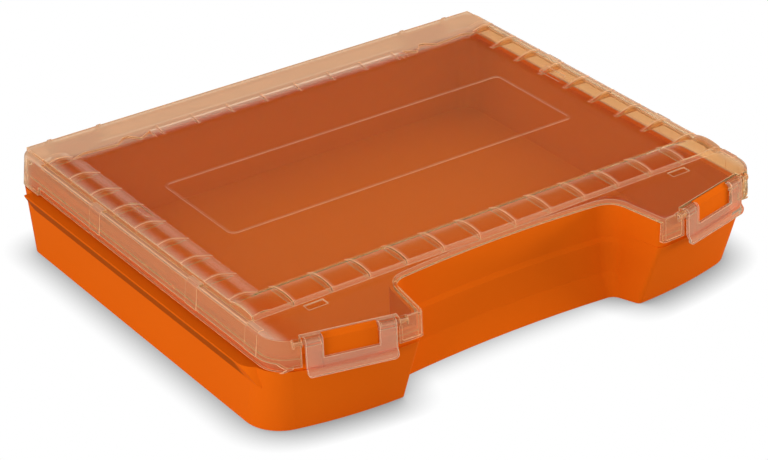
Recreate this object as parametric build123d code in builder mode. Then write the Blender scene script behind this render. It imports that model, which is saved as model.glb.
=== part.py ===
from build123d import *
import os
from math import atan2, cos, degrees, sin, sqrt

os.makedirs("parts", exist_ok=True)

# The case lies flat. X runs along its front, Y back to the hinges and Z up, in millimetres.
# The origin is under the middle of its outline, on the ground.

# Compartment grid. The lid's beads stand at half of the insert boxes' 52 mm pitch.
bead_pitch = 26.0
front_beads = 12
side_beads = 9
rear_beads = 8
side_bead_middle = 19.5

# Plan: two rounded noses at the front with the hand recess between them
flank_front_x = 87.5
flank_back_x = 81.0
nose_radius = 200.0
nose_corner = 19.0
nose_edge = 3.0
recess_radius = 780.0
recess_corner = 13.0

# Lid
lid_top = 68.0
lid_wall = 2.0
lid_half_width = 176.0
lid_rear = 154.5
lid_front = -154.5
lid_recess = -110.0
lid_rear_corner = 10.0
side_flare = 2.1
front_flare = 1.15
rear_flare = 0.5
skirt_low = 47.3
nose_skirt_low = 50.0
pad_low = 51.0
rear_skirt_low = 57.0
rear_skirt_half = 173.5
recess_skirt_low = 63.5
nose_skirt_end = -137.2
lid_edge_round = 2.4

# Step along the skirt's sides: the last stretch is set back, clear of the rack's runners
step_top = 52.8
step_inset = 1.6
step_front = -134.2
step_rear = 129.0
step_jog = 1.6
lip_wall = 1.8

# Raised bands round the sunken window in the lid
ridge_y = -108.5
ridge_foot = 1.1
ridge_top = 70.8
band_top = 72.0
front_slope = -88.5
front_band_back = -82.5
side_band_outer = 171.6
side_band_top = 71.6
side_band_slope = 157.5
side_band_inner = 150.0
side_band_rear = 130.0
rear_band_top = 69.6
rear_band_rear = 152.0
rear_ledge = 118.5
rear_zigzag = [(98.0, 125.9), (106.6, 120.4), (113.0, 127.8), (116.8, 127.3), (123.6, 121.7), (146.6, 124.4),
               (155.6, 120.8), (side_band_outer, 120.8)]
bead_height = 0.3
bead_width = 1.1
window_line = (256.0, 78.5)
window_line_y = 20.75
window_line_corner = 5.0
window_line_width = 1.4
window_line_height = 0.25
channel_outer = 174.8
channel_floor = 66.6
channel_front = -108.0
channel_rear = 128.0
channel_wall = 1.5
tab_spots = (58.5, -52.0)
corner_tab = -115.0
tab_length = 12.0
tab_raise = 0.35
front_pocket = (133.0, -114.9, 13.0, 5.8)
side_pocket = (156.0, 37.8, 6.0, 20.6)
pocket_depth = 0.7
pad_frame_x = 95.6
pad_frame = (12.6, 14.2)
pad_frame_depth = 0.4

# Tub
foot_half_width = 175.0
foot_rear = 151.5
foot_front = -135.0
foot_nose_radius = 280.0
foot_nose_corner = 24.0
shoulder = 46.0
shoulder_nose_corner = 22.0
foot_recess_corner = 7.0
shoulder_half_width = 177.9
shoulder_rear = 154.0
shoulder_front = -152.0
rear_shoulder_start = 138.0
rear_shoulder_half = 172.0
recess_kick = 17.0
recess_step_low = 38.0
recess_step_high = 41.0
recess_foot_y = -114.0
recess_band_y = -110.5
recess_wall_y = -109.0
rim_half_width = 172.2
rim_rear = 149.4
rim_front = -150.8
rim_top = 55.7
recess_rim_top = 63.2
floor_thickness = 2.4
cavity_foot = (166.0, 143.0, -132.0)
cavity_top = (168.6, 144.5, -148.3)
cavity_recess_y = -105.5
cavity_rear_corner = 12.0
flank_wall = 3.0

# Runner rail and groove along each side
rail_half_width = 183.5
rail_side_low = 45.0
rail_root = 177.3
rail_root_low = 33.6
rail_rear = 137.0
rail_front_round = ((rail_half_width, -110.5), (181.6, -116.4), (175.4, -121.8))

# Hollow walls, cored from below between cross webs
core_height = 33.0
core_inner = 169.8
core_outer = 172.8
core_bays = 7
core_bay = 30.0
core_web = 2.2
core_start = -95.0
rear_core_inner = 146.2
rear_core_outer = 149.2
rear_core_bays = 9

# Finger pocket behind the recess wall, open downwards
finger_half_width = 54.0
finger_front = -105.5
finger_back = -82.0
finger_height = 40.0
finger_wall = 2.4
finger_corner = 8.0

# Rear hinges
hinge_y = 154.2
hinge_z = 60.5
hinge_radius = 3.8
ear_top = 68.3
hinge_pin_radius = 1.5
pin_clearance = 0.05
station_x = 136.0
station_half = 19.0
ear_thickness = 2.6
ear_gap = 0.4
ear_reach = 149.5

# Front latches
latch_x = 132.5
latch_half = 27.0
latch_window_half = 16.8
latch_slit = 2.0
latch_thickness = 2.0
latch_hub = 2.8
latch_pivot = -2.9
latch_bar_top = -13.6
latch_flare_top = -17.6
latch_lip_top = -20.2
latch_low = -23.6
latch_lip_run = 1.72
latch_notch_depth = 6.2
latch_pin_radius = 1.25
latch_pin_hold = 5.0
latch_pin_reach = 8.5
catch_half = 16.25
catch_gap = 0.5
catch_thickness = 3.3
catch_drop = 0.4
catch_bevel = 2.7


def nose_line(x, front, radius):
    # Y of a nose's front face at x, from its Y at the flank
    return front + radius - sqrt(radius**2 - (x - flank_front_x) ** 2)


def recess_line(x, back):
    return back - (recess_radius - sqrt(recess_radius**2 - x**2))


def case_plan(level, half_width, rear, front, recess, nose=nose_radius, corner=nose_corner,
              rear_corner=lid_rear_corner, inset=0.0, recess_round=recess_corner):
    # Closed plan of the case at one height. inset thickens the walls along the flanks.
    flank_front = flank_front_x + inset
    flank_back = flank_back_x + inset
    flank_y = nose_line(flank_front, front, nose)
    side_y = nose_line(half_width, front, nose)
    middle = (half_width + flank_front) / 2
    with BuildSketch(Plane.XY.offset(level)) as plan:
        with BuildLine():
            Line((0, recess), (0, rear))
            Line((0, rear), (half_width, rear))
            Line((half_width, rear), (half_width, side_y))
            ThreePointArc((half_width, side_y), (middle, nose_line(middle, front, nose)), (flank_front, flank_y))
            Line((flank_front, flank_y), (flank_back, recess_line(flank_back, recess)))
            ThreePointArc((flank_back, recess_line(flank_back, recess)),
                          (flank_back / 2, recess_line(flank_back / 2, recess)), (0, recess))
        make_face()
        rounds = [
            ((half_width, rear), rear_corner),
            ((half_width, side_y), corner - inset),
            ((flank_front, flank_y), max(nose_edge - inset, 0.6)),
            ((flank_back, recess_line(flank_back, recess)), recess_round + inset),
        ]
        for spot, radius in rounds:
            fillet(plan.vertices().sort_by_distance(Vector(*spot, level))[0], radius=radius)
        mirror(about=Plane.YZ)
    return plan.sketch


def nose_plane(side, x=latch_x):
    # The front face of a nose at x: x along it, y up it and z out of it. side is -1 left and 1 right.
    turn = (x - flank_front_x) / nose_radius
    lean = atan2(front_flare, lid_top - skirt_low)
    along = Vector(sqrt(1 - turn**2), side * turn, 0)
    out = Vector(side * turn * cos(lean), -sqrt(1 - turn**2) * cos(lean), sin(lean))
    return Plane(origin=(side * x, nose_line(x, lid_front, nose_radius), lid_top), x_dir=along, z_dir=out)


def nose_slice(side, at):
    # A plane square to that face at x = at: x points out of the face and y up it
    face = nose_plane(side)
    return Plane(origin=face.from_local_coords(Vector(at, 0, 0)), x_dir=face.z_dir, z_dir=face.x_dir * -1)


def side_profile(drop):
    low = lid_top - lid_wall - drop
    with BuildLine() as edge:
        ThreePointArc((side_band_outer - max(drop, 0), side_band_top - 1.4 - drop),
                      ((side_band_outer + side_band_slope) / 2, side_band_top - drop),
                      (side_band_slope, side_band_top - 1.3 - drop))
        Line((side_band_slope, side_band_top - 1.3 - drop), (side_band_inner, lid_top - 0.1 - drop))
        Polyline((side_band_inner, lid_top - 0.1 - drop), (side_band_inner, low),
                 (side_band_outer - max(drop, 0), low), (side_band_outer - max(drop, 0), side_band_top - 1.4 - drop))
    return edge.line


def front_profile(drop):
    low = lid_top - lid_wall - drop
    ridge = ridge_y + max(drop, 0)
    foot = ridge - ridge_foot
    with BuildLine() as edge:
        Polyline((foot, low), (foot, lid_top - 0.1 - drop), (ridge, ridge_top - drop))
        ThreePointArc((ridge, ridge_top - drop), ((ridge + front_slope) / 2, band_top - drop),
                      (front_slope, ridge_top - drop))
        Polyline((front_slope, ridge_top - drop), (front_band_back, lid_top - 0.1 - drop), (front_band_back, low),
                 (foot, low))
    return edge.line


def ledge_profile(drop):
    low = lid_top - lid_wall - drop
    with BuildLine() as edge:
        Polyline((rear_ledge, low), (rear_ledge, lid_top - 0.1 - drop), (rear_zigzag[0][1], rear_band_top - drop),
                 (rear_zigzag[0][1] + 3, rear_band_top - drop), (rear_zigzag[0][1] + 3, low), (rear_ledge, low))
    return edge.line


def band_run(profile, plane, length):
    # One stretch of a raised band: its section on a plane, run along the plane's normal
    with BuildPart() as band:
        with BuildSketch(plane):
            with BuildLine():
                add(profile)
            make_face()
        extrude(amount=length)
    return band.part


def rear_field(drop):
    cut = max(drop, 0)
    zigzag = [(x, y + cut) for x, y in rear_zigzag[:-1]] + [(side_band_outer - cut, rear_zigzag[-1][1] + cut)]
    with BuildPart() as field:
        with BuildSketch(Plane.XY.offset(lid_top - lid_wall - drop)):
            with BuildLine():
                Polyline((0, zigzag[0][1]), *zigzag, (side_band_outer - cut, rear_band_rear - cut),
                         (0, rear_band_rear - cut), (0, zigzag[0][1]))
            make_face()
            mirror(about=Plane.YZ)
        extrude(amount=rear_band_top - lid_top + lid_wall)
    return field.part


def crown(drop):
    # The raised bands. A drop lowers and narrows them for the hollow underneath.
    side_run = side_band_rear - ridge_y - 2 * drop
    runs = [
        band_run(side_profile(drop), Plane.XZ.offset(-side_band_rear + drop), side_run),
        band_run(side_profile(drop), Plane.XZ.offset(-side_band_rear + drop), side_run).mirror(Plane.YZ),
        band_run(front_profile(drop), Plane.YZ.offset(-side_band_outer + drop), 2 * (side_band_outer - drop)),
        band_run(ledge_profile(drop), Plane.YZ.offset(-rear_zigzag[0][0] + drop), 2 * (rear_zigzag[0][0] - drop)),
        rear_field(drop),
    ]
    with BuildPart() as form:
        for run in runs:
            add(run)
    return form.part


def beads():
    # Thin raised lines across the bands, on the grid
    runs = []
    for step in range(front_beads):
        x = (step - (front_beads - 1) / 2) * bead_pitch
        runs.append(band_run(front_profile(-bead_height), Plane.YZ.offset(x - bead_width / 2), bead_width))
    for step in range(rear_beads):
        x = (step - (rear_beads - 1) / 2) * bead_pitch
        runs.append(band_run(ledge_profile(-bead_height), Plane.YZ.offset(x - bead_width / 2), bead_width))
    for step in range(side_beads):
        y = side_bead_middle + (step - (side_beads - 1) / 2) * bead_pitch
        bead = band_run(side_profile(-bead_height), Plane.XZ.offset(-y - bead_width / 2), bead_width)
        runs += [bead, bead.mirror(Plane.YZ)]
    return runs


def side_pockets():
    # Shallow pockets in the slopes of the side bands
    x, y, width, length = side_pocket
    at = Plane.XZ.offset(-y - length / 2)
    skin = band_run(side_profile(0), at, length) - band_run(side_profile(pocket_depth), at, length)
    with BuildPart() as pocket:
        add(skin)
        with BuildSketch(Plane.XY.offset(lid_top - 5)):
            with Locations((x, y)):
                Rectangle(width, length)
        extrude(amount=10, mode=Mode.INTERSECT)
    return [pocket.part, pocket.part.mirror(Plane.YZ)]


# Lid

def skirt_plan(level, inset=0.0, wall=0.0, rear_room=0.0):
    # Plan of the lid's skirt at one height, moved in by inset at the sides and noses and by wall all round
    share = (lid_top - level) / (lid_top - skirt_low)
    shift = inset + wall
    return case_plan(level, lid_half_width + side_flare * share - shift, lid_rear + rear_flare * share - wall + rear_room,
                     lid_front - front_flare * share + shift, lid_recess + wall, inset=wall,
                     corner=nose_corner - inset, rear_corner=lid_rear_corner - wall)


skirt_foot = skirt_plan(skirt_low)
skirt_head = skirt_plan(lid_top)
hollow_foot = skirt_plan(step_top + step_jog, wall=lid_wall)
hollow_head = skirt_plan(lid_top - lid_wall, wall=lid_wall)
lip_hollow_foot = skirt_plan(skirt_low, inset=step_inset, wall=lip_wall)
lip_hollow_head = skirt_plan(step_top + step_jog, inset=step_inset, wall=lip_wall)
lip_foot = skirt_plan(skirt_low, inset=step_inset, rear_room=20)
lip_head = skirt_plan(step_top, inset=step_inset, rear_room=20)
lid_crown = crown(0)
lid_crown_hollow = crown(lid_wall)
lid_beads = beads()
lid_side_pockets = side_pockets()
tall = 40.0


def skirt_step():
    # What the step takes off the skirt's sides, running out at the noses in a slope
    with BuildPart() as step:
        with BuildSketch(Plane.YZ.offset(-200)):
            with BuildLine():
                Polyline((step_rear, skirt_low), (step_rear, step_top), (step_front, step_top),
                         (nose_skirt_end, nose_skirt_low), (nose_skirt_end, skirt_low), (step_rear, skirt_low))
            profile = make_face()
            fillet(profile.vertices().sort_by_distance(Vector(-200, step_front, step_top))[0], radius=1.6)
        extrude(amount=400)
        loft([lip_foot, lip_head], ruled=True, mode=Mode.SUBTRACT)
    return step.part


lid_step = skirt_step()

with BuildPart() as lid:
    loft([skirt_foot, skirt_head], ruled=True)
    fillet(lid.faces().sort_by(Axis.Z)[-1].edges(), radius=lid_edge_round)
    add(lid_crown)
    loft([hollow_foot, hollow_head], ruled=True, mode=Mode.SUBTRACT)
    loft([lip_hollow_foot, lip_hollow_head], ruled=True, mode=Mode.SUBTRACT)
    add(lid_crown_hollow, mode=Mode.SUBTRACT)
    add(lid_beads)
    add(lid_side_pockets, mode=Mode.SUBTRACT)
    add(lid_step, mode=Mode.SUBTRACT)
    # Skirt edge: deep at the sides and noses, shallow along the rear and in the recess
    with BuildSketch(Plane.XY.offset(nose_skirt_low)):
        with Locations((0, nose_skirt_end - 50)):
            Rectangle(400, 100)
    extrude(amount=-tall, mode=Mode.SUBTRACT)
    with BuildSketch(Plane.XY.offset(rear_skirt_low)):
        with Locations((0, rear_shoulder_start + 50)):
            Rectangle(2 * rear_skirt_half, 100)
    extrude(amount=-tall, mode=Mode.SUBTRACT)
    with BuildSketch(Plane.XY.offset(recess_skirt_low)):
        with BuildLine():
            Polyline((0, -152.2), (flank_front_x + 2.2, -152.2), (flank_back_x + 2.8, -113), (flank_back_x + 2.8, -104),
                     (0, -104), (0, -152.2))
        make_face()
        mirror(about=Plane.YZ)
    extrude(amount=-tall, mode=Mode.SUBTRACT)
    with BuildSketch(Plane.XY.offset(pad_low)):
        with Locations((0, -150)):
            Rectangle(220, 40)
    extrude(amount=-tall, mode=Mode.SUBTRACT)
    # Fine lines and marks on the top
    with BuildSketch(Plane.XY.offset(lid_top - 0.1)):
        with Locations((0, window_line_y)):
            RectangleRounded(*window_line, window_line_corner)
            RectangleRounded(window_line[0] - 2 * window_line_width, window_line[1] - 2 * window_line_width,
                             window_line_corner - window_line_width, mode=Mode.SUBTRACT)
    extrude(amount=window_line_height + 0.1)
    for side in (-1, 1):
        # A channel outside each side band, bridged by tabs that carry on down the skirt
        middle = (side_band_outer + channel_outer) / 2
        run = channel_rear - channel_front
        with BuildSketch(Plane.XY.offset(channel_floor - channel_wall)):
            with Locations((side * middle, (channel_front + channel_rear) / 2)):
                Rectangle(channel_outer - side_band_outer + 1.5, run)
        extrude(amount=lid_top - lid_wall - channel_floor + channel_wall)
        with BuildSketch(Plane.XY.offset(channel_floor)):
            with Locations((side * middle, (channel_front + channel_rear) / 2)):
                Rectangle(channel_outer - side_band_outer, run)
            for y in tab_spots:
                with Locations((side * middle, y)):
                    Rectangle(channel_outer - side_band_outer, tab_length, mode=Mode.SUBTRACT)
        extrude(amount=10, mode=Mode.SUBTRACT)
        for y in tab_spots + (corner_tab,):
            with BuildSketch(Plane.XZ.offset(-y - tab_length / 2)):
                with BuildLine():
                    Polyline((side * side_band_outer, lid_top - 0.5), (side * side_band_outer, lid_top + tab_raise),
                             (side * (lid_half_width - 1.2), lid_top + tab_raise),
                             (side * (lid_half_width + tab_raise), lid_top - 1.8),
                             (side * (lid_half_width + 1.55 + tab_raise), step_top),
                             (side * (lid_half_width + 0.5), step_top), (side * (lid_half_width - 1), lid_top - 0.5),
                             (side * side_band_outer, lid_top - 0.5))
                make_face()
            extrude(amount=tab_length)
        x, y, width, depth = front_pocket
        with BuildSketch(Plane.XY.offset(lid_top - pocket_depth)):
            with Locations((side * x, y)):
                Rectangle(width, depth)
        extrude(amount=10, mode=Mode.SUBTRACT)
        with BuildSketch(nose_plane(side, pad_frame_x).offset(-pad_frame_depth)):
            with Locations((0, pad_low - lid_top + pad_frame[1] / 2 + 1.3)):
                RectangleRounded(*pad_frame, 1.0)
        extrude(amount=5, mode=Mode.SUBTRACT)
    # Latch notches, with a boss beside each for the stub pins
    for side in (-1, 1):
        with BuildSketch(nose_plane(side).offset(-latch_notch_depth)):
            Rectangle(2 * (latch_half + latch_slit), 2 * tall)
        extrude(amount=20, mode=Mode.SUBTRACT)
        for end in (-1, 1):
            near = end * (latch_half + latch_slit)
            outer_end = max(near, near + end * latch_pin_hold)
            with BuildSketch(nose_slice(side, outer_end)):
                with Locations((-latch_hub, latch_pivot)):
                    Circle(latch_hub)
                with Locations((-latch_hub, latch_pivot / 2 - 0.5)):
                    Rectangle(2 * latch_hub - 0.4, -latch_pivot - 1.0)
            extrude(amount=latch_pin_hold)
            with BuildSketch(nose_slice(side, outer_end)):
                with Locations((-latch_hub, latch_pivot)):
                    Circle(latch_pin_radius)
            extrude(amount=latch_pin_hold, mode=Mode.SUBTRACT)
    # Rear hinges: a notch for the tub's knuckle between two ears
    for side in (-1, 1):
        with BuildSketch(Plane.XY.offset(lid_top - lid_wall)):
            with Locations((side * station_x, ear_reach + 10)):
                Rectangle(2 * (station_half - ear_thickness), 20)
        extrude(amount=-tall, mode=Mode.SUBTRACT)
        for end in (-1, 1):
            near = side * station_x + end * (station_half - ear_thickness / 2)
            with BuildSketch(Plane.YZ.offset(near - ear_thickness / 2)):
                with Locations((hinge_y, hinge_z)):
                    Circle(hinge_radius)
                with BuildLine():
                    Polyline((hinge_y - hinge_radius, hinge_z), (hinge_y + hinge_radius, hinge_z),
                             (hinge_y + hinge_radius, ear_top - 2.5), (hinge_y + hinge_radius - 2.5, ear_top),
                             (hinge_y - hinge_radius, ear_top), (hinge_y - hinge_radius, hinge_z))
                make_face()
            extrude(amount=ear_thickness)
            with BuildSketch(Plane.YZ.offset(near - ear_thickness / 2)):
                with Locations((hinge_y, hinge_z)):
                    Circle(hinge_pin_radius + pin_clearance)
            extrude(amount=ear_thickness, mode=Mode.SUBTRACT)
lid.part.label = "lid"
export_step(lid.part, "parts/lid.step")


# Latches and their stub pins


def latch_of(side):
    with BuildPart() as latch:
        with BuildSketch(nose_slice(side, latch_half)):
            with BuildLine():
                Polyline((0, latch_pivot), (0, latch_flare_top), (latch_lip_run, latch_lip_top),
                         (latch_lip_run, latch_low), (latch_lip_run - latch_thickness, latch_low),
                         (latch_lip_run - latch_thickness, latch_lip_top), (-latch_thickness, latch_flare_top),
                         (-latch_thickness, latch_pivot), (0, latch_pivot))
            make_face()
            with Locations((-latch_hub, latch_pivot)):
                Circle(latch_hub)
        extrude(amount=2 * latch_half)
        with BuildSketch(nose_plane(side).offset(5)):
            with Locations((0, latch_bar_top + tall / 2)):
                Rectangle(2 * latch_window_half, tall)
        extrude(amount=-20, mode=Mode.SUBTRACT)
        along = Axis((0, 0, 0), nose_plane(side).z_dir)
        corners = latch.edges().filter_by(along, tolerance=3).sort_by(Axis.Z)
        fillet(corners.filter_by(lambda edge: edge.length < 3)[:2], radius=2.5)
        for end in (-1, 1):
            with BuildSketch(nose_slice(side, end * latch_half)):
                with Locations((-latch_hub, latch_pivot)):
                    Circle(latch_pin_radius + pin_clearance)
            extrude(amount=end * (latch_pin_reach + 0.3), mode=Mode.SUBTRACT)
    return latch.part


def latch_pin_of(side, end):
    inner = end * (latch_half - latch_pin_reach)
    outer = end * (latch_half + latch_slit + latch_pin_hold)
    with BuildPart() as pin:
        with BuildSketch(nose_slice(side, max(inner, outer))):
            with Locations((-latch_hub, latch_pivot)):
                Circle(latch_pin_radius)
        extrude(amount=abs(outer - inner))
    return pin.part


for side, side_name in ((-1, "left"), (1, "right")):
    latch_part = latch_of(side)
    latch_part.label = f"latch_{side_name}"
    export_step(latch_part, f"parts/latch_{side_name}.step")
    for end in (-1, 1):
        place = "outer" if side == end else "inner"
        pin_part = latch_pin_of(side, end)
        pin_part.label = f"latch_pin_{side_name}_{place}"
        export_step(pin_part, f"parts/latch_pin_{side_name}_{place}.step")


# Tub


def tub_plan(level, recess):
    # Plan of the tub's wall below its shoulder, from the narrow foot up
    share = level / shoulder

    def between(low, high):
        return low + (high - low) * share

    return case_plan(level, between(foot_half_width, shoulder_half_width), between(foot_rear, shoulder_rear),
                     between(foot_front, shoulder_front), recess,
                     nose=1 / between(1 / foot_nose_radius, 1 / nose_radius),
                     corner=between(foot_nose_corner, shoulder_nose_corner),
                     recess_round=between(foot_recess_corner, recess_corner))


def rail_of(side):
    with BuildPart() as rail:
        with BuildSketch(Plane.XZ.offset(-rail_rear)):
            with BuildLine():
                Polyline((side * core_outer, rail_root_low - 3), (side * rail_root, rail_root_low),
                         (side * rail_half_width, rail_side_low), (side * rail_half_width, shoulder),
                         (side * core_outer, shoulder), (side * core_outer, rail_root_low - 3))
            make_face()
        extrude(amount=rail_rear - rail_front_round[2][1])
        with BuildSketch(Plane.XY.offset(shoulder)):
            start, middle, end = [(side * x, y) for x, y in rail_front_round]
            with BuildLine():
                ThreePointArc(start, middle, end)
                Polyline(end, (end[0], end[1] - 1), (side * (rail_half_width + 1), end[1] - 1),
                         (side * (rail_half_width + 1), start[1]), start)
            make_face()
        extrude(amount=rail_root_low - 3 - shoulder, mode=Mode.SUBTRACT)
    return rail.part


tub_levels = [tub_plan(0, recess_foot_y), tub_plan(recess_kick, recess_band_y),
              tub_plan(recess_step_low, recess_band_y), tub_plan(recess_step_high, recess_wall_y),
              tub_plan(shoulder, recess_wall_y)]
shoulder_plan = tub_plan(shoulder, recess_wall_y)
rim_plan = case_plan(shoulder, rim_half_width, rim_rear, rim_front, recess_wall_y, corner=12.0)
cavity_low = case_plan(floor_thickness, cavity_foot[0], cavity_foot[1], cavity_foot[2], cavity_recess_y,
                       nose=foot_nose_radius, corner=20.0, rear_corner=cavity_rear_corner, inset=flank_wall)
cavity_mid = case_plan(shoulder, cavity_top[0], cavity_top[1], cavity_top[2], cavity_recess_y, corner=12.0,
                       rear_corner=cavity_rear_corner, inset=flank_wall)
finger_middle = (finger_front + finger_back) / 2
finger_run = finger_back - finger_front

with BuildPart() as tub:
    loft(tub_levels, ruled=True)
    extrude(rim_plan, amount=rim_top - shoulder)
    with BuildSketch(Plane.XY.offset(shoulder)):
        add(rim_plan)
        with Locations((0, -125)):
            Rectangle(2 * flank_front_x + 5, 51, mode=Mode.INTERSECT)
    extrude(amount=recess_rim_top - shoulder)
    # Rear: the wall stands at full thickness up to the lid's skirt
    with BuildSketch(Plane.XY.offset(shoulder)):
        add(shoulder_plan)
        with Locations((0, rear_shoulder_start + 20)):
            Rectangle(2 * rear_shoulder_half, 40, mode=Mode.INTERSECT)
    extrude(amount=rim_top - shoulder)
    # Inside
    loft([cavity_low, cavity_mid], ruled=True, mode=Mode.SUBTRACT)
    extrude(cavity_mid, amount=tall, mode=Mode.SUBTRACT)
    add([rail_of(-1), rail_of(1)])
    # Finger pocket
    with BuildSketch(Plane.XY):
        with Locations((0, finger_middle)):
            RectangleRounded(2 * (finger_half_width + finger_wall), finger_run + 2 * finger_wall, finger_corner)
    extrude(amount=finger_height + finger_wall)
    with BuildSketch(Plane.XY):
        with Locations((0, finger_middle)):
            RectangleRounded(2 * finger_half_width, finger_run, finger_corner - finger_wall)
    extrude(amount=finger_height, mode=Mode.SUBTRACT)
    # Cores
    for side in (-1, 1):
        with BuildSketch(Plane.XY):
            for bay in range(core_bays):
                y = core_start + core_bay / 2 + bay * (core_bay + core_web)
                with Locations((side * (core_inner + core_outer) / 2, y)):
                    Rectangle(core_outer - core_inner, core_bay)
        extrude(amount=core_height, mode=Mode.SUBTRACT)
    with BuildSketch(Plane.XY):
        for bay in range(rear_core_bays):
            x = (bay - (rear_core_bays - 1) / 2) * (core_bay + core_web)
            with Locations((x, (rear_core_inner + rear_core_outer) / 2)):
                Rectangle(core_bay, rear_core_outer - rear_core_inner)
    extrude(amount=core_height, mode=Mode.SUBTRACT)
    # Catches that stand in the latch windows
    for side in (-1, 1):
        front = -latch_thickness - catch_gap
        with BuildSketch(nose_slice(side, catch_half)):
            with BuildLine():
                Polyline((front, shoulder - lid_top), (front, -catch_drop - catch_bevel),
                         (front - catch_bevel, -catch_drop), (front - catch_thickness, -catch_drop),
                         (front - catch_thickness, shoulder - lid_top), (front, shoulder - lid_top))
            make_face()
        extrude(amount=2 * catch_half)
    # Rear knuckles
    for side in (-1, 1):
        half = station_half - ear_thickness - ear_gap
        with BuildSketch(Plane.YZ.offset(side * station_x - half)):
            with Locations((hinge_y, hinge_z)):
                Circle(hinge_radius)
            with BuildLine():
                Polyline((hinge_y - hinge_radius, shoulder), (hinge_y - hinge_radius, hinge_z),
                         (hinge_y + hinge_radius, hinge_z), (shoulder_rear, rim_top - 4),
                         (shoulder_rear, shoulder), (hinge_y - hinge_radius, shoulder))
            make_face()
            with Locations((hinge_y, hinge_z)):
                Circle(hinge_pin_radius, mode=Mode.SUBTRACT)
        extrude(amount=2 * half)
tub.part.label = "base_tub"
export_step(tub.part, "parts/base_tub.step")


# Rear hinge pins

for side, side_name in ((-1, "left"), (1, "right")):
    with BuildPart() as hinge_pin:
        with BuildSketch(Plane.YZ.offset(side * station_x - station_half)):
            with Locations((hinge_y, hinge_z)):
                Circle(hinge_pin_radius)
        extrude(amount=2 * station_half)
    hinge_pin.part.label = f"rear_hinge_pin_{side_name}"
    export_step(hinge_pin.part, f"parts/rear_hinge_pin_{side_name}.step")
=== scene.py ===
import bmesh
import bpy
import math
from mathutils import Matrix, Vector

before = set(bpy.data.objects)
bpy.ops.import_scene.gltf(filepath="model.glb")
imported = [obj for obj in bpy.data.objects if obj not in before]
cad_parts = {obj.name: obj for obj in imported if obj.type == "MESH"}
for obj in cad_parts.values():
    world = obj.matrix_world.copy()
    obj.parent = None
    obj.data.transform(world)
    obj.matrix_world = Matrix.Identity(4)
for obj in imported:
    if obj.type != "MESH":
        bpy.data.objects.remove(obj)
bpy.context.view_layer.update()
print("frame loaded")


def linear(code):
    # sRGB hex code to the linear colour that a shader works with
    parts = [int(code[i:i + 2], 16) / 255 for i in (0, 2, 4)]
    return [part / 12.92 if part <= 0.04045 else ((part + 0.055) / 1.055) ** 2.4 for part in parts] + [1.0]


def addNode(tree, kind, settings=None, links=None):
    # settings go to the node, or to its inputs by name or number; an input is linked to a node's first
    # output, or to the output that is named with the node
    node = tree.nodes.new(kind)
    for name, value in (settings or {}).items():
        if isinstance(name, int) or name in node.inputs:
            node.inputs[name].default_value = value
        else:
            setattr(node, name, value)
    for name, source in (links or {}).items():
        giver, output = source if isinstance(source, tuple) else (source, 0)
        tree.links.new(giver.outputs[output], node.inputs[name])
    return node


def newMaterial(name):
    material = bpy.data.materials.new(name)
    material.use_nodes = True
    material.node_tree.nodes.clear()
    return material, material.node_tree


# Tub: ABS, injection moulded in a spark-eroded tool. The fine even grain spreads the light, so the colour
# stays deep and hardly any white sheen lies over it. The undercut of the rails, which leans over the ground,
# has painted shade: a darker colour stands in for the shade that falls there.
mouldedAbs = {
    "base": "E8670C",
    "flow": "DF610B",
    "flowMm": 90.0,
    "flowDetail": 2.0,
    # colour of the painted shade on the rails' undercut
    "under": "B04D07",
    "lean": (-0.41, -0.46),          # the face normal's Z where the painted shade starts and is full
    "leanMm": (-110.0, -104.0),      # it stays behind the noses
    "roughness": 0.5,
    "ior": 1.54,
    "sheen": 0.01,
    "grainMm": 0.5,                  # coarser than the real 0.2 mm or so, to show in the render
    "grainDetail": 1.0,
    "grainDepthMm": 0.02,
    "grainStrength": 0.35,
}


def makeMouldedAbs(spec):
    material, tree = newMaterial("mouldedOrangeAbs")
    place = addNode(tree, "ShaderNodeTexCoord")
    axes = addNode(tree, "ShaderNodeSeparateXYZ", links={"Vector": (place, "Object")})
    face = addNode(tree, "ShaderNodeSeparateXYZ", links={"Vector": (place, "Normal")})
    flow = addNode(tree, "ShaderNodeTexNoise",
                   {"Scale": 1000 / spec["flowMm"], "Detail": spec["flowDetail"]},
                   {"Vector": (place, "Object")})
    tint = addNode(tree, "ShaderNodeMix",
                   {"data_type": "RGBA", 6: linear(spec["base"]), 7: linear(spec["flow"])},
                   {0: (flow, "Fac")})
    # painted shade: the colour turns darker on faces that lean over the ground, behind the noses
    lean = addNode(tree, "ShaderNodeMapRange", {"From Min": spec["lean"][0], "From Max": spec["lean"][1]},
                   {"Value": (face, "Z")})
    along = addNode(tree, "ShaderNodeMapRange",
                    {"interpolation_type": "SMOOTHSTEP", "From Min": spec["leanMm"][0] / 1000,
                     "From Max": spec["leanMm"][1] / 1000}, {"Value": (axes, "Y")})
    under = addNode(tree, "ShaderNodeMath", {"operation": "MULTIPLY"}, {0: lean, 1: along})
    colour = addNode(tree, "ShaderNodeMix", {"data_type": "RGBA", 7: linear(spec["under"])},
                     {0: under, 6: (tint, 2)})
    grain = addNode(tree, "ShaderNodeTexNoise",
                    {"Scale": 1000 / spec["grainMm"], "Detail": spec["grainDetail"]},
                    {"Vector": (place, "Object")})
    bump = addNode(tree, "ShaderNodeBump",
                   {"Strength": spec["grainStrength"], "Distance": spec["grainDepthMm"] / 1000},
                   {"Height": (grain, "Fac")})
    shader = addNode(tree, "ShaderNodeBsdfPrincipled",
                     {"Roughness": spec["roughness"], "IOR": spec["ior"],
                      "Specular IOR Level": spec["sheen"]},
                     {"Base Color": (colour, 2), "Normal": bump})
    addNode(tree, "ShaderNodeOutputMaterial", links={"Surface": shader})
    return material
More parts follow.
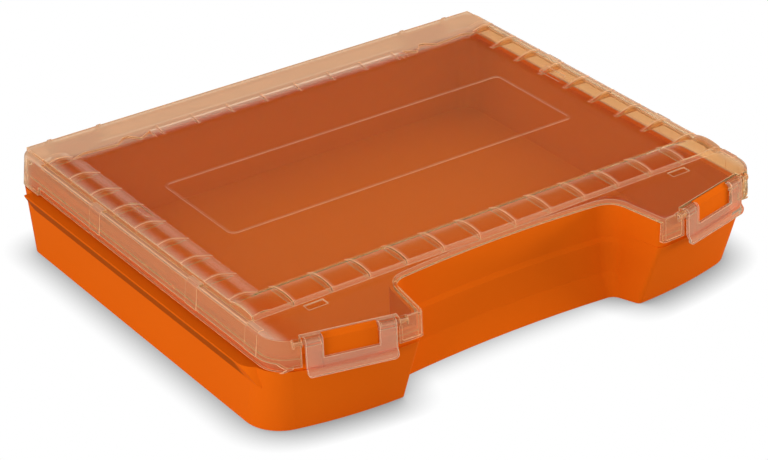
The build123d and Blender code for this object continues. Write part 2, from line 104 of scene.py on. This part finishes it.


# Lid: clear polycarbonate from a polished tool, with a warm cast. The window's faces are parallel, so the
# inside shows almost straight through. Rim, rear strip and skirts are seen through more plastic, so they look
# warmer. Painted reflection haze lies over them, and painted highlights run as pale lines along the edges.
clearPolycarbonate = {
    "window": "F8F2EA",
    "side": "F6DDC4",
    "skirt": "F9D6A6",
    "rear": "F8D5B6",
    # colour of the painted highlight lines along the edges
    "paintedEdgeHighlight": "FFCBA0",
    # how much of the pale painted reflection haze, and of the painted highlight, replaces the see-through
    "windowPaintedHaze": 0.003,
    "rearPaintedHaze": 0.42,
    "paintedHighlightShare": 0.85,
    "upright": (0.8, 0.3),           # the face normal's Z where a face starts to count as a wall and is one
    # where each zone starts and ends, in mm out from the middle, back or up, and its value before and after
    "zones": {
        "sideTint": ("X", 148.0, 160.0, 0.0, 1.0),
        # painted reflection haze on the side strips, and on the skirts growing towards the top
        "sidePaintedHaze": ("X", 164.0, 174.0, 0.0, 0.3),
        "rearTop": ("Y", 119.0, 128.0, 0.0, 1.0),
        "rearWall": ("Y", 120.0, 160.0, 0.0, 1.0),
        "front": ("Y", -68.0, -84.0, 0.3, 1.0),
        "skirtPaintedHaze": ("Z", 42.0, 58.0, 0.0, 0.16),
    },
    "edgeMm": 0.8,
    "edgeSamples": 6,
    "edgeBend": (0.97, 0.8),         # how far the rounded normal turns where the painted highlight line starts and is full
    "roughness": 0.02,
    "ior": 1.12,
    "coat": 0.2,
    "coatIor": 1.585,
    "coatRoughness": 0.08,
    "veil": 0.25,
    "veilRoughness": 0.5,
    "veilTint": "FFC85A",
}

# Latches and their stub pins: the same plastic in a thinner, busier shape, with more of the pale haze colour
# and paler all over
latchPolycarbonate = dict(clearPolycarbonate, window="F7DCC4", side="F7D8BA", skirt="F7D8BA", paintedEdgeHighlight="FFDCC0",
                          windowPaintedHaze=0.06)
latchPolycarbonate["zones"] = dict(clearPolycarbonate["zones"], skirtPaintedHaze=("Z", 0.0, 30.0, 0.0, 0.16))


def makeClearPolycarbonate(name, spec):
    material, tree = newMaterial(name)
    place = addNode(tree, "ShaderNodeTexCoord")
    axes = addNode(tree, "ShaderNodeSeparateXYZ", links={"Vector": (place, "Object")})
    face = addNode(tree, "ShaderNodeSeparateXYZ", links={"Vector": (place, "Normal")})
    across = addNode(tree, "ShaderNodeMath", {"operation": "ABSOLUTE"}, {0: (axes, "X")})
    slope = addNode(tree, "ShaderNodeMath", {"operation": "ABSOLUTE"}, {0: (face, "Z")})
    upright = addNode(tree, "ShaderNodeMapRange",
                      {"From Min": spec["upright"][0], "From Max": spec["upright"][1]}, {"Value": slope})
    ways = {"X": across, "Y": (axes, "Y"), "Z": (axes, "Z")}
    zones = {}
    for zone, (way, start, end, before, after) in spec["zones"].items():
        zones[zone] = addNode(tree, "ShaderNodeMapRange",
                              {"interpolation_type": "SMOOTHSTEP", "From Min": start / 1000,
                               "From Max": end / 1000, "To Min": before, "To Max": after},
                              {"Value": ways[way]})
    rear = addNode(tree, "ShaderNodeMix", {"data_type": "FLOAT"},
                   {0: upright, 2: zones["rearTop"], 3: zones["rearWall"]})

    # painted reflection haze, a pale colour over the side and rear strips and the skirts, more towards skirt
    # tops
    flat = addNode(tree, "ShaderNodeMath", {"operation": "SUBTRACT", 0: 1.0}, {1: upright})
    paintedHaze = addNode(tree, "ShaderNodeMath", {"operation": "MULTIPLY"}, {0: flat, 1: zones["sidePaintedHaze"]})
    rearPaintedHaze = addNode(tree, "ShaderNodeMath", {"operation": "MULTIPLY", 1: spec["rearPaintedHaze"]}, {0: rear})
    skirtPaintedHaze = addNode(tree, "ShaderNodeMath", {"operation": "MULTIPLY"},
                        {0: upright, 1: zones["skirtPaintedHaze"]})
    for more in (rearPaintedHaze, skirtPaintedHaze):
        paintedHaze = addNode(tree, "ShaderNodeMath", {"operation": "MAXIMUM"}, {0: paintedHaze, 1: more})
    paintedHazeAndHighlight = addNode(tree, "ShaderNodeMath", {"operation": "ADD", 1: spec["windowPaintedHaze"]}, {0: paintedHaze})

    # painted highlight: pale lines along the edges, fainter round the window
    bevel = addNode(tree, "ShaderNodeBevel",
                    {"samples": spec["edgeSamples"], "Radius": spec["edgeMm"] / 1000})
    surface = addNode(tree, "ShaderNodeNewGeometry")
    bend = addNode(tree, "ShaderNodeVectorMath", {"operation": "DOT_PRODUCT"},
                   {0: bevel, 1: (surface, "Normal")})
    paintedEdgeHighlight = addNode(tree, "ShaderNodeMapRange",
                   {"From Min": spec["edgeBend"][0], "From Max": spec["edgeBend"][1]},
                   {"Value": (bend, "Value")})
    weight = zones["front"]
    for more in (zones["sideTint"], upright, rear):
        weight = addNode(tree, "ShaderNodeMath", {"operation": "MAXIMUM"}, {0: weight, 1: more})
    paintedHighlightLine = addNode(tree, "ShaderNodeMath", {"operation": "MULTIPLY"}, {0: paintedEdgeHighlight, 1: weight})

    colour = addNode(tree, "ShaderNodeMix",
                     {"data_type": "RGBA", 6: linear(spec["window"]), 7: linear(spec["side"])},
                     {0: zones["sideTint"]})
    for share, tint in ((upright, "skirt"), (rear, "rear"), (paintedHighlightLine, "paintedEdgeHighlight")):
        colour = addNode(tree, "ShaderNodeMix", {"data_type": "RGBA", 7: linear(spec[tint])},
                         {0: share, 6: (colour, 2)})
    # painted highlight: along the lines the pale colour largely takes the place of the see-through
    paintedHazeAndHighlight = addNode(tree, "ShaderNodeMix", {"data_type": "FLOAT", 3: spec["paintedHighlightShare"]}, {0: paintedHighlightLine, 2: paintedHazeAndHighlight})
    through = addNode(tree, "ShaderNodeMath", {"operation": "SUBTRACT", 0: 1.0}, {1: paintedHazeAndHighlight})
    shader = addNode(tree, "ShaderNodeBsdfPrincipled",
                     {"Roughness": spec["roughness"], "IOR": spec["ior"], "Coat Weight": spec["coat"],
                      "Coat IOR": spec["coatIor"], "Coat Roughness": spec["coatRoughness"],
                      "Sheen Weight": spec["veil"], "Sheen Roughness": spec["veilRoughness"],
                      "Sheen Tint": linear(spec["veilTint"])},
                     {"Base Color": (colour, 2), "Transmission Weight": through, "Coat Normal": bevel})
    addNode(tree, "ShaderNodeOutputMaterial", links={"Surface": shader})
    return material


# Hinge pins: drawn steel, bright with fine lines along the draw
drawnSteel = {
    "base": "C4C4C2",
    "roughness": 0.28,
    "lineMm": 0.2,                   # coarser than the real lines, to show in the render
    "lineStretch": (0.02, 1.0, 1.0),
    "lineDepthMm": 0.01,
    "lineStrength": 0.2,
}


def makeDrawnSteel(spec):
    material, tree = newMaterial("drawnSteel")
    place = addNode(tree, "ShaderNodeTexCoord")
    stretch = addNode(tree, "ShaderNodeMapping", {"Scale": spec["lineStretch"]},
                      {"Vector": (place, "Object")})
    lines = addNode(tree, "ShaderNodeTexNoise", {"Scale": 1000 / spec["lineMm"]}, {"Vector": stretch})
    bump = addNode(tree, "ShaderNodeBump",
                   {"Strength": spec["lineStrength"], "Distance": spec["lineDepthMm"] / 1000},
                   {"Height": (lines, "Fac")})
    shader = addNode(tree, "ShaderNodeBsdfPrincipled",
                     {"Base Color": linear(spec["base"]), "Metallic": 1.0, "Roughness": spec["roughness"]},
                     {"Normal": bump})
    addNode(tree, "ShaderNodeOutputMaterial", links={"Surface": shader})
    return material


orangeAbs = makeMouldedAbs(mouldedAbs)
clearLid = makeClearPolycarbonate("clearPolycarbonate", clearPolycarbonate)
clearLatch = makeClearPolycarbonate("latchPolycarbonate", latchPolycarbonate)
steel = makeDrawnSteel(drawnSteel)
for name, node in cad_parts.items():
    if name == "base_tub":
        material = orangeAbs
    elif name == "lid":
        material = clearLid
    elif name.startswith("latch"):
        material = clearLatch
    else:
        material = steel
    node.data.materials.clear()
    node.data.materials.append(material)
print("finishes on")

# Studio: white all round for the camera, a low soft lamp at either side, and a paper floor with a short
# shadow. What the clear lid mirrors or bends is kept dim and the lamps stay out of it, so no glare hides the
# inside. Seen from the front, the floor behind the lid is as white as beside it.
studio = {
    "floorSize": 6.0,
    "floor": "BCBCBC",
    "floorRoughness": 0.9,
    "floorGlow": 0.25,
    "floorAcross": (0.568, 0.823, 0.0),    # level, away from the camera
    "behindMm": (40.0, 120.0),
    "skyLight": 0.72,
    "insideLight": (1.82, 0.85),           # on what is in the case, from level and from above
    "insideRise": (0.0, 0.9),
    "mirrorGlow": 0.03,                    # what the lid mirrors from above
    "throughGlow": 0.32,                   # what is seen through it from above
    "glowRise": (0.05, 0.4),
    "shadowReachMm": 22.0,
    "shadowSamples": 16,
    "shadowOpen": (0.3, 1.0),
    "shadowDark": 0.3,
    "lamps": {
        "keyLeft": {"place": (-2.0, -0.6, 0.32), "size": (1.2, 0.4), "power": 19.0},
        "fillRight": {"place": (1.9, -0.9, 0.5), "size": (1.2, 0.5), "power": 26.0},
    },
    "lampAim": (0.0, 0.0, 0.03),
}
white = (1.0, 1.0, 1.0, 1.0)


def splitRays(tree):
    # the kinds of ray, and a mask for those mirrored or refracted before any rough surface has scattered them
    rays = addNode(tree, "ShaderNodeLightPath")
    bent = addNode(tree, "ShaderNodeMath", {"operation": "MAXIMUM"},
                   {0: (rays, "Is Glossy Ray"), 1: (rays, "Is Transmission Ray")})
    first = addNode(tree, "ShaderNodeMath", {"operation": "LESS_THAN", 1: 0.5}, {0: (rays, "Diffuse Depth")})
    direct = addNode(tree, "ShaderNodeMath", {"operation": "MULTIPLY"}, {0: bent, 1: first})
    return rays, direct


def makeSky(spec):
    world = bpy.data.worlds.new("studioWorld")
    world.use_nodes = True
    bpy.context.scene.world = world
    tree = world.node_tree
    tree.nodes.clear()
    rays, direct = splitRays(tree)
    place = addNode(tree, "ShaderNodeTexCoord")
    way = addNode(tree, "ShaderNodeSeparateXYZ", links={"Vector": (place, "Generated")})
    glow = addNode(tree, "ShaderNodeMix",
                   {"data_type": "FLOAT", 2: spec["mirrorGlow"], 3: spec["throughGlow"]},
                   {0: (rays, "Is Transmission Ray")})
    fall = addNode(tree, "ShaderNodeMapRange",
                   {"From Min": spec["glowRise"][0], "From Max": spec["glowRise"][1], "To Min": 1.0},
                   {"Value": (way, "Z"), "To Max": glow})
    slant = addNode(tree, "ShaderNodeMapRange",
                    {"From Min": spec["insideRise"][0], "From Max": spec["insideRise"][1],
                     "To Min": spec["insideLight"][0], "To Max": spec["insideLight"][1]},
                    {"Value": (way, "Z")})
    sky = addNode(tree, "ShaderNodeBackground", {"Color": white, "Strength": spec["skyLight"]})
    inside = addNode(tree, "ShaderNodeBackground", {"Color": white}, {"Strength": slant})
    mirrored = addNode(tree, "ShaderNodeBackground", {"Color": white}, {"Strength": fall})
    seen = addNode(tree, "ShaderNodeBackground", {"Color": white, "Strength": 1.0})
    light = addNode(tree, "ShaderNodeMixShader", links={0: (rays, "Is Transmission Ray"), 1: sky, 2: inside})
    light = addNode(tree, "ShaderNodeMixShader", links={0: direct, 1: light, 2: mirrored})
    light = addNode(tree, "ShaderNodeMixShader", links={0: (rays, "Is Camera Ray"), 1: light, 2: seen})
    addNode(tree, "ShaderNodeOutputWorld", links={"Surface": light})


def makeFloor(spec):
    mesh = bpy.data.meshes.new("studioFloor")
    shape = bmesh.new()
    bmesh.ops.create_grid(shape, x_segments=1, y_segments=1, size=spec["floorSize"] / 2)
    shape.to_mesh(mesh)
    shape.free()
    floor = bpy.data.objects.new("studioFloor", mesh)
    bpy.context.collection.objects.link(floor)
    material, tree = newMaterial("paleSeamlessPaper")
    mesh.materials.append(material)
    rays, direct = splitRays(tree)
    place = addNode(tree, "ShaderNodeTexCoord")
    along = addNode(tree, "ShaderNodeVectorMath", {"operation": "DOT_PRODUCT", 1: spec["floorAcross"]},
                    {0: (place, "Object")})
    behind = addNode(tree, "ShaderNodeMapRange",
                     {"From Min": spec["behindMm"][0] / 1000, "From Max": spec["behindMm"][1] / 1000,
                      "To Min": spec["floorGlow"]}, {"Value": (along, "Value")})
    through = addNode(tree, "ShaderNodeMix", {"data_type": "FLOAT", 2: spec["floorGlow"]},
                      {0: (rays, "Is Transmission Ray"), 3: behind})
    shown = addNode(tree, "ShaderNodeMath", {"operation": "MAXIMUM"},
                    {0: through, 1: (rays, "Is Camera Ray")})
    close = addNode(tree, "ShaderNodeAmbientOcclusion",
                    {"samples": spec["shadowSamples"], "Distance": spec["shadowReachMm"] / 1000})
    shadow = addNode(tree, "ShaderNodeMapRange",
                     {"From Min": spec["shadowOpen"][0], "From Max": spec["shadowOpen"][1],
                      "To Min": spec["shadowDark"]}, {"Value": (close, "AO")})
    strength = addNode(tree, "ShaderNodeMath", {"operation": "MULTIPLY"}, {0: shown, 1: shadow})
    seen = addNode(tree, "ShaderNodeEmission", {"Color": white}, {"Strength": strength})
    paper = addNode(tree, "ShaderNodeBsdfPrincipled",
                    {"Base Color": linear(spec["floor"]), "Roughness": spec["floorRoughness"]})
    either = addNode(tree, "ShaderNodeMath", {"operation": "MAXIMUM"},
                     {0: direct, 1: (rays, "Is Camera Ray")})
    mix = addNode(tree, "ShaderNodeMixShader", links={0: either, 1: paper, 2: seen})
    addNode(tree, "ShaderNodeOutputMaterial", links={"Surface": mix})


def makeLamps(spec):
    for name, settings in spec["lamps"].items():
        lamp = bpy.data.lights.new(name, "AREA")
        lamp.shape = "RECTANGLE"
        lamp.energy = settings["power"]
        lamp.size, lamp.size_y = settings["size"]
        holder = bpy.data.objects.new(name, lamp)
        holder.visible_glossy = False
        holder.visible_transmission = False
        holder.location = settings["place"]
        aim = Vector(spec["lampAim"]) - Vector(settings["place"])
        holder.rotation_euler = aim.to_track_quat("-Z", "Y").to_euler()
        bpy.context.collection.objects.link(holder)


makeSky(studio)
makeFloor(studio)
makeLamps(studio)

# Camera: where the photograph was taken from
viewpoint = {
    "place": (-0.82326, -1.18365, 0.81405),
    "target": (-0.01892, -0.01794, 0.035),
    "rollDeg": -1.114,
    "lensMm": 123.6,
    "sensorMm": 36.0,
}


def makeCamera(spec):
    data = bpy.data.cameras.new("photoCamera")
    data.lens = spec["lensMm"]
    data.sensor_width = spec["sensorMm"]
    camera = bpy.data.objects.new("photoCamera", data)
    place = Vector(spec["place"])
    turn = (Vector(spec["target"]) - place).to_track_quat("-Z", "Y").to_matrix().to_4x4()
    roll = Matrix.Rotation(math.radians(spec["rollDeg"]), 4, "Z")
    camera.matrix_world = Matrix.Translation(place) @ turn @ roll
    bpy.context.collection.objects.link(camera)
    bpy.context.scene.camera = camera


makeCamera(viewpoint)
bpy.context.scene.view_settings.view_transform = "Standard"
print("studio and camera set")
